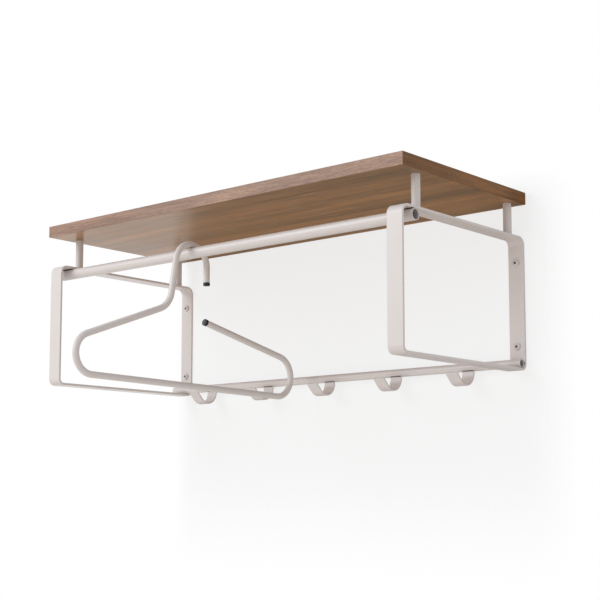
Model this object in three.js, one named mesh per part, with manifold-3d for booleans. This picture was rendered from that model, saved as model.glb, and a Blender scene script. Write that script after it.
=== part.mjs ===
// Wall hook rack: a wooden shelf on four posts over two bent flat-bar side frames, with a round
// hanging rail in front, a lower rail with strip hooks at the wall, and one bent-tube coat hanger.
// Millimetres. +X runs along the rack to the right, +Z is up, and the wall is the plane Y = 0 with
// the rack on its -Y side. The origin is the centre of the four wall screws, on the wall.
import * as THREE from "three";
import { mergeVertices } from "three/addons/utils/BufferGeometryUtils.js";
import Module from "manifold-3d";

const wasm = await Module();
wasm.setup();

// ---- driving dimensions -------------------------------------------------------------------------
const GAP = 0.3;                     // clearance between pieces that touch

const SHELF_WIDTH = 700;
const SHELF_FRONT_Y = -297;
const SHELF_BACK_Y = -0.5;
const SHELF_THICKNESS = 17.4;
const BAND_THICKNESS = 1;            // wooden edge band

const FRAME_X = 334;                 // centre of each side frame's bar, left and right
const FRAME_DEPTH = 294;             // from the wall to the front of the bar
const FRAME_TOP_Z = 96.3;
const FRAME_BOTTOM_Z = -95;
const BAR_WIDTH = 25;
const BAR_THICKNESS = 3.6;
const TOP_BEND_RADIUS = 13;          // outside radii of the bends
const BOTTOM_BEND_RADIUS = 10;

const POST_RADIUS = 6;
const POST_BORE_RADIUS = 2.9;
const POST_LENGTH = 46.7;            // from the top of the frame to the underside of the shelf
const POST_FRONT_Y = -247;
const POST_BACK_Y = -24.6;

const RAIL_RADIUS = 8.05;
const RAIL_WALL = 1.3;
const RAIL_HALF_LENGTH = 348;
const RAIL_Y = -267;

const LOWER_RAIL_RADIUS = 6.1;
const LOWER_RAIL_WALL = 1.2;
const LOWER_RAIL_HALF_LENGTH = 350;
const LOWER_RAIL_X = -5;             // it sits a little to the left in its welds

const HOOK_COUNT = 5;
const HOOK_PITCH = 129.5;
const HOOK_MIDDLE_X = -2;
const HOOK_STEM_Y = -12.5;           // middle of the strip where it meets the lower rail
const HOOK_WIDTH = 20;
const HOOK_THICKNESS = 2.5;
const HOOK_RADIUS = 20.5;            // outside radius of the cup
const HOOK_OPENING_ANGLE = 45;       // how far the front of the cup flares from upright, in degrees
const HOOK_LIP_LENGTH = 15.5;        // straight stretch at the front of the cup
const HOOK_STEM_LENGTH = 1.6;        // straight stretch under the lower rail

const WALL_SCREW_Z = 60;             // above and below the origin
const WALL_SCREW_RADIUS = 2.4;
const WALL_SCREW_HEAD_RADIUS = 5.2;
const WALL_SCREW_HEAD_HEIGHT = 2.8;

const SHELF_SCREW_RADIUS = 2.4;
const SHELF_SCREW_HEAD_RADIUS = 4.6;
const SHELF_SCREW_HEAD_HEIGHT = 2.2;
const SHELF_SCREW_REACH = 9;         // how far the screw goes into the shelf
const INSERT_RADIUS = 4.5;
const INSERT_LENGTH = 11;

const HANGER_X = -55;
const HANGER_RADIUS = 4.7;
const HANGER_WALL = 1.4;
const CAP_RADIUS = 5.1;
const CAP_HEAD = 4.5;                // length of a cap's head, outside the tube
const CAP_STEM = 8;                  // length of its stem, inside the tube

// The hanger's bends in order from the tip of its hook: straight length, bend radius, bend angle.
const ARCH_RADIUS = 31;
const HANGER_BENDS = [
  [21.9, ARCH_RADIUS, 90],           // up from the tip, first half of the hook
  [1.4, ARCH_RADIUS, 80.5],          // over the rail, second half of the hook
  [49.5, 35, -60.4],                 // down the neck, out into the front shoulder
  [142.1, 28.5, 159],                // front shoulder, round the front end
  [375.5, 31.5, 168.4],              // bottom bar, round the rear end
  [169, 0, 0],                       // rear shoulder, which ends free below the neck
];

// ---- places worked out from them ----------------------------------------------------------------
const SHELF_UNDERSIDE_Z = FRAME_TOP_Z + POST_LENGTH;
const RAIL_Z = FRAME_TOP_Z - BAR_THICKNESS - GAP - RAIL_RADIUS;
const LOWER_RAIL_Y = -(BAR_THICKNESS + GAP + LOWER_RAIL_RADIUS);
const LOWER_RAIL_Z = FRAME_BOTTOM_Z + BAR_THICKNESS + GAP + LOWER_RAIL_RADIUS;
const HANGER_APEX_Z = RAIL_Z + RAIL_RADIUS + GAP + HANGER_RADIUS;
const POST_PLACES = [
  ["front_left", -FRAME_X, POST_FRONT_Y],
  ["front_right", FRAME_X, POST_FRONT_Y],
  ["rear_left", -FRAME_X, POST_BACK_Y],
  ["rear_right", FRAME_X, POST_BACK_Y],
];
const radians = THREE.MathUtils.degToRad;

// ---- finishes -----------------------------------------------------------------------------------
const finish = (color, roughness, metalness) =>
  new THREE.MeshStandardMaterial({ color, roughness, metalness });
const veneer = finish(0x7d5f49, 0.45, 0);
const edgeWood = finish(0xa98a78, 0.5, 0);
const paintedSteel = finish(0xcfc5c0, 0.5, 0.1);
const zincSteel = finish(0xb4b4b2, 0.35, 0.9);
const brass = finish(0xb59a55, 0.4, 0.9);
const blackPlastic = finish(0x1b1b1c, 0.55, 0);

// ---- small tools --------------------------------------------------------------------------------
function named(name, geometry, material) {
  const mesh = new THREE.Mesh(geometry, material);
  mesh.name = name;
  return mesh;
}

function toSolid(geometry) {
  const bare = geometry.clone();
  bare.deleteAttribute("normal");
  bare.deleteAttribute("uv");
  const merged = mergeVertices(bare, 1e-4);
  return new wasm.Manifold(new wasm.Mesh({
    numProp: 3,
    vertProperties: new Float32Array(merged.attributes.position.array),
    triVerts: new Uint32Array(merged.index.array),
  }));
}

function toGeometry(solid) {
  const mesh = solid.getMesh();
  const geometry = new THREE.BufferGeometry();
  geometry.setAttribute("position", new THREE.BufferAttribute(mesh.vertProperties, 3));
  geometry.setIndex(new THREE.BufferAttribute(mesh.triVerts, 1));
  geometry.computeVertexNormals();
  return geometry;
}

function cut(geometry, tools) {
  let solid = toSolid(geometry);
  for (const tool of tools) solid = solid.subtract(toSolid(tool));
  return toGeometry(solid);
}

// A solid of revolution about local +Z from [radius, height] pairs, listed bottom to top.
function turned(profile, sides) {
  const points = profile.map(([radius, height]) => new THREE.Vector2(radius, height));
  return new THREE.LatheGeometry(points, sides).rotateX(Math.PI / 2);
}

// A straight round tube about local +Z, from 0 to length.
function tube(outer, inner, length, sides) {
  return turned([[inner, 0], [outer, 0], [outer, length], [inner, length], [inner, 0]], sides);
}

// A round cutting tool about local +Z, from low to high.
function drill(radius, low, high, sides = 16) {
  return turned([[0, low], [radius, low], [radius, high], [0, high]], sides);
}

// Turns an extrusion so that its outline lies in the YZ plane and its depth runs along +X.
function standUp(geometry) {
  const toYZ = new THREE.Matrix4().set(0, 0, 1, 0, 1, 0, 0, 0, 0, 1, 0, 0, 0, 0, 0, 1);
  return geometry.applyMatrix4(toYZ);
}

// ---- shelf --------------------------------------------------------------------------------------
function shelfBoard() {
  const width = SHELF_WIDTH - 2 * (BAND_THICKNESS + GAP);
  const depth = SHELF_BACK_Y - SHELF_FRONT_Y - 2 * (BAND_THICKNESS + GAP);
  const centreY = (SHELF_FRONT_Y + SHELF_BACK_Y) / 2;
  const centreZ = SHELF_THICKNESS / 2;
  const board = new THREE.BoxGeometry(width, depth, SHELF_THICKNESS).translate(0, 0, centreZ);
  const pockets = POST_PLACES.map(([, x, y]) =>
    drill(INSERT_RADIUS + GAP, -1, INSERT_LENGTH + 2 * GAP).translate(x, y - centreY, 0));
  const mesh = named("shelf_board", cut(board, pockets), veneer);
  mesh.position.set(0, centreY, SHELF_UNDERSIDE_Z);
  return mesh;
}

function edgeBands() {
  const bands = new THREE.Group();
  const depth = SHELF_BACK_Y - SHELF_FRONT_Y;
  const centreY = (SHELF_FRONT_Y + SHELF_BACK_Y) / 2;
  const centreZ = SHELF_UNDERSIDE_Z + SHELF_THICKNESS / 2;
  const sideX = (SHELF_WIDTH - BAND_THICKNESS) / 2;
  const sideDepth = depth - 2 * (BAND_THICKNESS + GAP);
  const long = [SHELF_WIDTH, BAND_THICKNESS];
  const short = [BAND_THICKNESS, sideDepth];
  const places = [
    ["edge_band_front", long, 0, SHELF_FRONT_Y + BAND_THICKNESS / 2],
    ["edge_band_rear", long, 0, SHELF_BACK_Y - BAND_THICKNESS / 2],
    ["edge_band_left", short, -sideX, centreY],
    ["edge_band_right", short, sideX, centreY],
  ];
  for (const [name, [width, length], x, y] of places) {
    const band = named(name, new THREE.BoxGeometry(width, length, SHELF_THICKNESS), edgeWood);
    band.position.set(x, y, centreZ);
    bands.add(band);
  }
  return bands;
}

// ---- side frames --------------------------------------------------------------------------------
// A rounded rectangle between (y0, z0) and (y1, z1), with one radius below and one above.
function roundedLoop(Loop, y0, z0, y1, z1, below, above) {
  const loop = new Loop();
  loop.moveTo(y0 + below, z0);
  loop.lineTo(y1 - below, z0);
  loop.absarc(y1 - below, z0 + below, below, -Math.PI / 2, 0);
  loop.lineTo(y1, z1 - above);
  loop.absarc(y1 - above, z1 - above, above, 0, Math.PI / 2);
  loop.lineTo(y0 + above, z1);
  loop.absarc(y0 + above, z1 - above, above, Math.PI / 2, Math.PI);
  loop.lineTo(y0, z0 + below);
  loop.absarc(y0 + below, z0 + below, below, Math.PI, 1.5 * Math.PI);
  return loop;
}

function sideFrame(name, x) {
  const outline = roundedLoop(THREE.Shape, -FRAME_DEPTH, FRAME_BOTTOM_Z, 0, FRAME_TOP_Z,
    BOTTOM_BEND_RADIUS, TOP_BEND_RADIUS);
  outline.holes.push(roundedLoop(THREE.Path, BAR_THICKNESS - FRAME_DEPTH,
    FRAME_BOTTOM_Z + BAR_THICKNESS, -BAR_THICKNESS, FRAME_TOP_Z - BAR_THICKNESS,
    BOTTOM_BEND_RADIUS - BAR_THICKNESS, TOP_BEND_RADIUS - BAR_THICKNESS));
  const bar = new THREE.ExtrudeGeometry(outline,
    { depth: BAR_WIDTH, bevelEnabled: false, curveSegments: 4 });
  standUp(bar).translate(-BAR_WIDTH / 2, 0, 0);
  const holes = [];
  for (const z of [-WALL_SCREW_Z, WALL_SCREW_Z]) {
    const hole = drill(WALL_SCREW_RADIUS + GAP, -1, BAR_THICKNESS + 1).rotateX(Math.PI / 2);
    holes.push(hole.translate(0, 0, z));
  }
  const underside = FRAME_TOP_Z - BAR_THICKNESS;
  for (const y of [POST_FRONT_Y, POST_BACK_Y]) {
    const head = SHELF_SCREW_HEAD_RADIUS + GAP;
    const shank = SHELF_SCREW_RADIUS + GAP;
    const countersink = turned([[0, -1], [head, -1], [head, 0], [shank, SHELF_SCREW_HEAD_HEIGHT],
      [shank, BAR_THICKNESS + 1], [0, BAR_THICKNESS + 1]], 16);
    holes.push(countersink.translate(0, y, underside));
  }
  const frame = named(name, cut(bar, holes), paintedSteel);
  frame.position.x = x;
  return frame;
}

// ---- rails --------------------------------------------------------------------------------------
function rail(name, outer, wall, halfLength, x, y, z) {
  const pipe = tube(outer, outer - wall, 2 * halfLength, 24).translate(0, 0, -halfLength);
  const mesh = named(name, pipe, paintedSteel);
  mesh.rotation.y = Math.PI / 2;
  mesh.position.set(x, y, z);
  return mesh;
}

// ---- posts between frames and shelf, with their screws and threaded inserts ---------------------
function post(place, x, y) {
  const group = new THREE.Group();
  const spacer = named(`post_${place}`,
    tube(POST_RADIUS, POST_BORE_RADIUS, POST_LENGTH - 2 * GAP, 20), paintedSteel);
  spacer.position.z = GAP;

  const top = BAR_THICKNESS + POST_LENGTH + SHELF_SCREW_REACH;
  const body = turned([[0, 0], [SHELF_SCREW_HEAD_RADIUS, 0],
    [SHELF_SCREW_RADIUS, SHELF_SCREW_HEAD_HEIGHT], [SHELF_SCREW_RADIUS, top], [0, top]], 16);
  const socket = new THREE.CylinderGeometry(1.6, 1.6, 3, 6).rotateX(Math.PI / 2);
  const screw = named(`shelf_screw_${place}`, cut(body, [socket]), zincSteel);
  screw.position.z = -BAR_THICKNESS;

  const insert = named(`threaded_insert_${place}`,
    tube(INSERT_RADIUS, SHELF_SCREW_RADIUS + GAP, INSERT_LENGTH, 16), brass);
  insert.position.z = POST_LENGTH + GAP;

  group.add(spacer, screw, insert);
  group.position.set(x, y, FRAME_TOP_Z);
  return group;
}

// ---- wall screws --------------------------------------------------------------------------------
function wallScrew(name, x, z) {
  const shank = BAR_THICKNESS + GAP;
  const crown = WALL_SCREW_HEAD_RADIUS * 0.45;
  const profile = [[0, GAP], [WALL_SCREW_RADIUS, GAP], [WALL_SCREW_RADIUS, shank],
    [WALL_SCREW_HEAD_RADIUS, shank]];
  const steps = 4;
  for (let i = 0; i <= steps; i++) {
    const turn = (i / steps) * Math.PI / 2;
    const radius = crown + (WALL_SCREW_HEAD_RADIUS - crown) * Math.cos(turn);
    profile.push([radius, shank + 0.6 + (WALL_SCREW_HEAD_HEIGHT - 0.6) * Math.sin(turn)]);
  }
  profile.push([0, shank + WALL_SCREW_HEAD_HEIGHT]);
  const socket = new THREE.CylinderGeometry(1.7, 1.7, 3.6, 6).rotateX(Math.PI / 2);
  socket.translate(0, 0, shank + WALL_SCREW_HEAD_HEIGHT);
  const screw = named(name, cut(turned(profile, 20), [socket]), paintedSteel);
  screw.rotation.x = Math.PI / 2;
  screw.position.set(x, 0, z);
  return screw;
}

// ---- strip hooks --------------------------------------------------------------------------------
// The strip in profile: a short stem down from the lower rail, a round cup, and a flared lip.
function hookProfile() {
  const inner = HOOK_RADIUS - HOOK_THICKNESS;
  const flare = radians(HOOK_OPENING_ANGLE);
  const end = 1.5 * Math.PI - flare;
  const lip = [-Math.cos(flare) * HOOK_LIP_LENGTH, Math.sin(flare) * HOOK_LIP_LENGTH];
  const outline = new THREE.Shape();
  outline.moveTo(HOOK_RADIUS, HOOK_STEM_LENGTH);
  outline.lineTo(inner, HOOK_STEM_LENGTH);
  outline.absarc(0, 0, inner, 0, end, true);
  outline.lineTo(inner * Math.cos(end) + lip[0], inner * Math.sin(end) + lip[1]);
  outline.lineTo(HOOK_RADIUS * Math.cos(end) + lip[0], HOOK_RADIUS * Math.sin(end) + lip[1]);
  outline.absarc(0, 0, HOOK_RADIUS, end, 2 * Math.PI, false);
  return outline;
}

function hook(name, x) {
  const strip = new THREE.ExtrudeGeometry(hookProfile(),
    { depth: HOOK_WIDTH, bevelEnabled: false, curveSegments: 14 });
  standUp(strip).translate(-HOOK_WIDTH / 2, 0, 0);
  const mesh = named(name, strip, paintedSteel);
  const stemTop = LOWER_RAIL_Z - LOWER_RAIL_RADIUS - GAP;
  const cupY = HOOK_STEM_Y + HOOK_THICKNESS / 2 - HOOK_RADIUS;
  mesh.position.set(x, cupY, stemTop - HOOK_STEM_LENGTH);
  return mesh;
}

// ---- coat hanger --------------------------------------------------------------------------------
// Stations along the bent tube in the YZ plane: one at each end of a straight, and one for each
// 11 degrees of a bend. A heading of 0 points along +Y and 90 points up.
function hangerStations() {
  const stations = [];
  let heading = Math.PI / 2;
  const tipRise = HANGER_BENDS[0][0];
  const place = new THREE.Vector2(RAIL_Y + ARCH_RADIUS, HANGER_APEX_Z - ARCH_RADIUS - tipRise);
  const note = () => stations.push({
    point: new THREE.Vector3(0, place.x, place.y),
    tangent: new THREE.Vector3(0, Math.cos(heading), Math.sin(heading)),
  });
  note();
  for (const [length, radius, angle] of HANGER_BENDS) {
    place.x += length * Math.cos(heading);
    place.y += length * Math.sin(heading);
    note();
    const steps = Math.round(Math.abs(angle) / 11);
    const turn = steps ? radians(angle) / steps : 0;
    const chord = 2 * radius * Math.sin(Math.abs(turn) / 2);
    for (let i = 0; i < steps; i++) {
      heading += turn / 2;
      place.x += chord * Math.cos(heading);
      place.y += chord * Math.sin(heading);
      heading += turn / 2;
      note();
    }
  }
  return stations;
}

class StationCurve extends THREE.Curve {
  constructor(stations) {
    super();
    this.stations = stations;
  }

  at(u) {
    return this.stations[Math.round(u * (this.stations.length - 1))];
  }

  getPointAt(u, target = new THREE.Vector3()) {
    return target.copy(this.at(u).point);
  }

  getTangentAt(u, target = new THREE.Vector3()) {
    return target.copy(this.at(u).tangent);
  }
}

function cap(name, end, direction) {
  const stem = HANGER_RADIUS - HANGER_WALL - GAP;
  const plug = turned([[0, -CAP_STEM], [stem, -CAP_STEM], [stem, GAP], [CAP_RADIUS, GAP],
    [CAP_RADIUS, CAP_HEAD - 0.8], [CAP_RADIUS - 0.8, CAP_HEAD], [0, CAP_HEAD]], 16);
  const mesh = named(name, plug, blackPlastic);
  mesh.quaternion.setFromUnitVectors(new THREE.Vector3(0, 0, 1), direction);
  mesh.position.copy(end);
  return mesh;
}

function hanger() {
  const stations = hangerStations();
  const first = stations[0];
  const last = stations[stations.length - 1];
  const section = new THREE.Shape();
  section.absarc(0, 0, HANGER_RADIUS, 0, 2 * Math.PI);
  const bore = new THREE.Path();
  bore.absarc(0, 0, HANGER_RADIUS - HANGER_WALL, 0, 2 * Math.PI);
  section.holes.push(bore);
  const pipe = new THREE.ExtrudeGeometry(section, {
    extrudePath: new StationCurve(stations), steps: stations.length - 1, curveSegments: 6,
  });
  const group = new THREE.Group();
  group.add(named("hanger_tube", pipe, paintedSteel));
  group.add(cap("hanger_hook_cap", first.point, first.tangent.clone().negate()));
  group.add(cap("hanger_shoulder_cap", last.point, last.tangent));
  group.position.x = HANGER_X;
  return group;
}

// ---- the rack -----------------------------------------------------------------------------------
const group = new THREE.Group();
group.add(shelfBoard(), edgeBands());
group.add(sideFrame("left_frame", -FRAME_X), sideFrame("right_frame", FRAME_X));
group.add(rail("hanging_rail", RAIL_RADIUS, RAIL_WALL, RAIL_HALF_LENGTH, 0, RAIL_Y, RAIL_Z));
group.add(rail("lower_rail", LOWER_RAIL_RADIUS, LOWER_RAIL_WALL, LOWER_RAIL_HALF_LENGTH,
  LOWER_RAIL_X, LOWER_RAIL_Y, LOWER_RAIL_Z));
for (const [place, x, y] of POST_PLACES) group.add(post(place, x, y));
for (const [side, x] of [["left", -FRAME_X], ["right", FRAME_X]]) {
  group.add(wallScrew(`wall_screw_upper_${side}`, x, WALL_SCREW_Z));
  group.add(wallScrew(`wall_screw_lower_${side}`, x, -WALL_SCREW_Z));
}
for (let i = 0; i < HOOK_COUNT; i++) {
  const x = HOOK_MIDDLE_X + (i - (HOOK_COUNT - 1) / 2) * HOOK_PITCH;
  group.add(hook(`hook_${i + 1}`, x));
}
group.add(hanger());

export default group;
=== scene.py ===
"""Wall hook rack: fine surfaces, finishes, light and camera around its fixed frame.

Metres. +X runs along the rack to the right, +Z is up, the wall is the plane Y = 0 and the room is on
the -Y side. Lengths written with MM are millimetres.
"""
import math

import bpy
import numpy as np
from bpy.props import FloatProperty, FloatVectorProperty, IntProperty, PointerProperty
from bpy.types import Operator, Panel, PropertyGroup
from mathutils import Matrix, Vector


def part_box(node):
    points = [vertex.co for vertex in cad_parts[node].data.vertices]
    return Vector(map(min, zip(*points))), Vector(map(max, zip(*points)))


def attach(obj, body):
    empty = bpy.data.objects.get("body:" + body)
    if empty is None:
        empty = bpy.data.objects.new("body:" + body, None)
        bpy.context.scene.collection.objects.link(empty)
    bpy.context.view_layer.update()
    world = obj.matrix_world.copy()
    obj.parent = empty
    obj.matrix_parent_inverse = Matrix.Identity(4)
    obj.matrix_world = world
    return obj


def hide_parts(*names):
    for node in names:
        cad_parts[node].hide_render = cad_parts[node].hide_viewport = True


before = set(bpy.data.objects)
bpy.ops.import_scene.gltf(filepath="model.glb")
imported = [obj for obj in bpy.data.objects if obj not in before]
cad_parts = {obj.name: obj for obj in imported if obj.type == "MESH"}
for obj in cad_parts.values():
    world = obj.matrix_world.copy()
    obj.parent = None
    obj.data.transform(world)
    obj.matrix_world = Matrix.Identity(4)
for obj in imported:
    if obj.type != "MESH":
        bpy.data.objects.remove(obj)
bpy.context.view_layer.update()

bl_info = {
    "name": "Wall hook rack",
    "version": (1, 0, 0),
    "blender": (4, 5, 0),
    "location": "3D View > Sidebar > Rack",
    "description": "Builds a wall rack with a shelf, two rails, strip hooks and a coat hanger",
    "category": "Add Mesh",
}

MM = 0.001
X, Y, Z = np.eye(3)
SUPPORT = 0.4 * MM          # how far the extra point beside a bend stands off, to keep a flat side flat
LEAST_DRAWN = 0.04          # share of a corner's radius that an inset always leaves
END_STEPS = 4               # steps in the rounding of an end
RELIEF = 0.05 * MM          # height of orange peel and of open pores
SCREW_SIDES = 60            # points round a wall screw, ten to each side of its socket
PLACES = ("front_left", "front_right", "rear_left", "rear_right")
HOOKS = ("hook_1", "hook_2", "hook_3", "hook_4", "hook_5")

# The hanger from the tip of its hook: straight length and bend radius in millimetres, bend in degrees.
HANGER_BENDS = (
    (21.9, 31, 90),         # up from the tip, first half of the hook
    (1.4, 31, 80.5),        # over the rail, second half of the hook
    (49.5, 35, -60.4),      # down the neck, out into the front shoulder
    (142.1, 28.5, 159),     # front shoulder, round the front end
    (375.5, 31.5, 168.4),   # bottom bar, round the rear end
    (169, 0, 0),            # rear shoulder
)


# ---- places taken from the frame ----------------------------------------------------------------
def corners(node):
    """Lowest and highest corner of a piece of the frame, as arrays."""
    low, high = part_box(node)
    return np.array(low), np.array(high)


def half_width(node):
    """Half the extent of a piece of the frame along X: the radius of a round one."""
    low, high = corners(node)
    return float(high[0] - low[0]) / 2


def middle(node):
    """Centre of a piece of the frame."""
    low, high = corners(node)
    return (low + high) / 2


# ---- outlines ------------------------------------------------------------------------------------
def rounded_rectangle(width, height, radius, inset=0.0, steps=5, margin=SUPPORT):
    """Outline of a rectangle with quarter-circle corners, counter-clockwise.

    Corner k has its centre at (+-(width / 2 - radius), +-(height / 2 - radius)) and its points at the
    centre plus (radius - inset) (cos a, sin a), with a from 90 k to 90 k + 90 degrees. One more point
    stands a margin away on the flat at each end of the arc. An array of insets gives many outlines,
    and every inset leaves a small share of the radius, so that no two points meet.
    """
    quarter = np.linspace(0, math.pi / 2, steps + 1)
    angle = (np.arange(4)[:, None] * math.pi / 2 + np.r_[0, quarter, math.pi / 2]).ravel()
    signs = np.repeat([[1, 1], [-1, 1], [-1, -1], [1, -1]], steps + 3, axis=0)
    centre = signs * np.array([width / 2 - radius, height / 2 - radius])
    out = np.stack([np.cos(angle), np.sin(angle)], -1)
    along = np.stack([-np.sin(angle), np.cos(angle)], -1)
    shift = np.tile(np.r_[-margin, np.zeros(steps + 1), margin], 4)[:, None] * along
    drawn = np.maximum(radius - np.asarray(inset)[..., None, None], LEAST_DRAWN * radius)
    return centre + shift + drawn * out


def circle(radius, sides):
    """Points radius (cos a, sin a) at equal steps of a. An array of radii gives one circle each."""
    angle = np.arange(sides) * 2 * math.pi / sides
    return np.asarray(radius)[..., None, None] * np.stack([np.cos(angle), np.sin(angle)], -1)


def hexagon_radius(flat, angle):
    """Distance from the centre of a hexagon to its side: flat / cos((a mod 60) - 30 degrees)."""
    return flat / np.cos(angle % (math.pi / 3) - math.pi / 6)


# ---- surfaces: (points, four-sided faces, end caps) ----------------------------------------------
def surface(grid, closed_rows=False):
    """Joins neighbouring points of a grid of rings. A run that is not closed gets a cap at each end."""
    rows, columns = grid.shape[:2]
    row = np.arange(rows if closed_rows else rows - 1)[:, None] * columns
    column = np.arange(columns)[None, :]
    next_row = (row + columns) % (rows * columns)
    next_column = (column + 1) % columns
    quads = np.stack([row + column, row + next_column, next_row + next_column, next_row + column], -1)
    ring = np.arange(columns)
    caps = [] if closed_rows else [ring[::-1], ring + (rows - 1) * columns]
    return grid.reshape(-1, 3), quads.reshape(-1, 4), caps


def sweep(points, side, normal, outline, closed=False):
    """Carries an outline along a path: point (i, j) = P_i + u_ij S_i + v_ij N_i, with S x N forward."""
    points = np.asarray(points, float)
    side = np.broadcast_to(side, points.shape)[:, None]
    normal = np.broadcast_to(normal, points.shape)[:, None]
    outline = np.broadcast_to(outline, (len(points),) + outline.shape[-2:])
    return surface(points[:, None] + outline[..., :1] * side + outline[..., 1:] * normal, closed)


def turned(radius, along, centre, side, normal, sides=48, closed=False):
    """Turns a profile about an axis: point (i, j) = C + h_i A + r_ij (cos a_j S + sin a_j N), A = S x N.

    radius holds one number, or one for each angle, at each place along the axis. A closed profile
    makes a ring or a tube, and an open one a solid, whose outer wall runs up the axis.
    """
    radius = np.asarray(radius, float).reshape(len(along), -1)
    axis = np.cross(side, normal)
    ring = circle(1.0, sides)
    spokes = ring[:, :1] * side + ring[:, 1:] * normal
    steps = np.asarray(along, float)[:, None, None] * axis
    return surface(centre + steps + radius[..., None] * spokes, closed)


def tube(outer, wall, start, end, rim, centre, side, normal, sides=48):
    """A round tube with rounded rims: a closed rounded rectangle, wall wide, turned about the axis."""
    profile = rounded_rectangle(wall, end - start, rim, margin=min(SUPPORT, wall / 4))
    profile = profile + [outer - wall / 2, (start + end) / 2]
    return turned(profile[:, 0], profile[:, 1], centre, side, normal, sides, closed=True)


def rounding(radius):
    """Places near a rounded end, radius (1 - cos a) from it, and the insets there, radius (1 - sin a)."""
    angle = np.linspace(0, math.pi / 2, END_STEPS + 1)
    return radius * (1 - np.cos(angle)), radius * (1 - np.sin(angle))


def rounded_ends(length, radius):
    """Stations from 0 to length and the inset at each, for ends rounded off by a radius."""
    near, inset = rounding(radius)
    near = np.r_[near, radius + SUPPORT]
    inset = np.r_[inset, 0]
    return np.r_[near, length - near[::-1]], np.r_[inset, inset[::-1]]


def rounded_bar(low, high, direction, radius):
    """A straight rectangular bar between two corners, along X or Y, with every arris rounded."""
    side, normal = (Y, Z) if direction is X else (Z, X)
    size, centre = high - low, (low + high) / 2
    length, width, height = (float(size @ way) for way in (direction, side, normal))
    stations, inset = rounded_ends(length, radius)
    margin = min(SUPPORT, (min(width, height) - 2 * radius) / 4)
    outline = rounded_rectangle(width, height, radius, inset, margin=margin)
    points = centre + (stations - length / 2)[:, None] * direction
    return sweep(points, side, normal, outline)


def bent_run(x, y, z, heading, bends, step, support=2 * SUPPORT):
    """Path of straights and round bends in a plane of constant X, with its forward and normal vectors.

    A heading of 0 points along +Y and 90 degrees along +Z. After a turn t of a bend of radius R the
    place is P + s R (sin(h + s t) - sin h, cos h - cos(h + s t)), where s is the sign of the bend.
    """
    place, flat, headings = np.array([y, z], float), [], []
    for length, radius, bend in bends:
        ahead = np.array([math.cos(heading), math.sin(heading)])
        along = [0, support, length - support, length] if length > 3 * support else [0, length]
        flat.append(place + np.outer(along, ahead))
        headings.append(np.full(len(along), heading))
        count = max(1, round(abs(bend) / step))
        turn = heading + math.radians(bend) * np.arange(1, count + 1) / count
        signed = math.copysign(radius, bend)
        arc = np.stack([np.sin(turn) - math.sin(heading), math.cos(heading) - np.cos(turn)], -1)
        arc = place + length * ahead + signed * arc
        if bend:
            flat.append(arc[:-1])
            headings.append(turn[:-1])
        place, heading = arc[-1], turn[-1]
    flat, angle = np.vstack(flat), np.concatenate(headings)
    points = np.column_stack([np.full(len(flat), x), flat])
    forward = np.column_stack([np.zeros(len(flat)), np.cos(angle), np.sin(angle)])
    return points, forward, np.cross(forward, X)


def taper(points, radius):
    """Adds stations on the first and last straight of a path, with the insets that round its ends."""
    near, inset = rounding(radius)
    first = (points[1] - points[0]) / np.linalg.norm(points[1] - points[0])
    last = (points[-2] - points[-1]) / np.linalg.norm(points[-2] - points[-1])
    head = points[0] + np.outer(near, first)
    tail = points[-1] + np.outer(near[::-1], last)
    insets = np.r_[inset, np.zeros(len(points) - 2), inset[::-1]]
    return np.vstack([head, points[1:-1], tail]), insets


def stretch(rows):
    """Repeats the first and last row of an array, to go with taper."""
    ends = np.ones((END_STEPS + 1, 1))
    return np.vstack([ends * rows[0], rows[1:-1], ends * rows[-1]])


# ---- objects -------------------------------------------------------------------------------------
def to_mesh(name, surfaces):
    """One mesh from several surfaces, smooth on the four-sided faces and flat on the caps."""
    points, corner_lists, sizes, smooth = [], [], [], []
    start = 0
    for own_points, quads, caps in surfaces:
        points.append(own_points)
        corner_lists += [quads.ravel() + start] + [cap + start for cap in caps]
        sizes += [np.full(len(quads), 4)] + [[len(cap)] for cap in caps]
        smooth += [np.ones(len(quads), bool)] + [[False] for _ in caps]
        start += len(own_points)
    sizes = np.concatenate(sizes)
    mesh = bpy.data.meshes.new(name)
    mesh.vertices.add(start)
    mesh.vertices.foreach_set("co", np.concatenate(points).astype(np.float32).ravel())
    mesh.loops.add(int(sizes.sum()))
    mesh.loops.foreach_set("vertex_index", np.concatenate(corner_lists).astype(np.int32))
    mesh.polygons.add(len(sizes))
    mesh.polygons.foreach_set("loop_start", np.r_[0, np.cumsum(sizes)[:-1]].astype(np.int32))
    mesh.update(calc_edges=True)
    mesh.polygons.foreach_set("use_smooth", np.concatenate(smooth))
    mesh.update()
    return mesh


def add_piece(name, surfaces, material, body="rack", nodes=()):
    """Makes one piece from surfaces. It rides on a body and stands for the frame's nodes."""
    piece = bpy.data.objects.new(name, to_mesh(name, surfaces))
    piece.data.materials.append(material)
    bpy.context.scene.collection.objects.link(piece)
    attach(piece, body)
    if nodes:
        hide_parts(*nodes)
    return piece


def finish_node(node, material):
    """Gives a piece that comes straight from the frame its material."""
    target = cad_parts[node]
    target.data.materials.clear()
    target.data.materials.append(material)


# ---- shader nodes --------------------------------------------------------------------------------
def add_node(tree, kind, sockets=None, **settings):
    """Adds a shader node: settings are its own attributes, and sockets hold values or links."""
    made = tree.nodes.new(kind)
    for key, value in settings.items():
        setattr(made, key, value)
    for key, value in (sockets or {}).items():
        if isinstance(value, bpy.types.NodeSocket):
            tree.links.new(value, made.inputs[key])
        else:
            made.inputs[key].default_value = value
    return made


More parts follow.
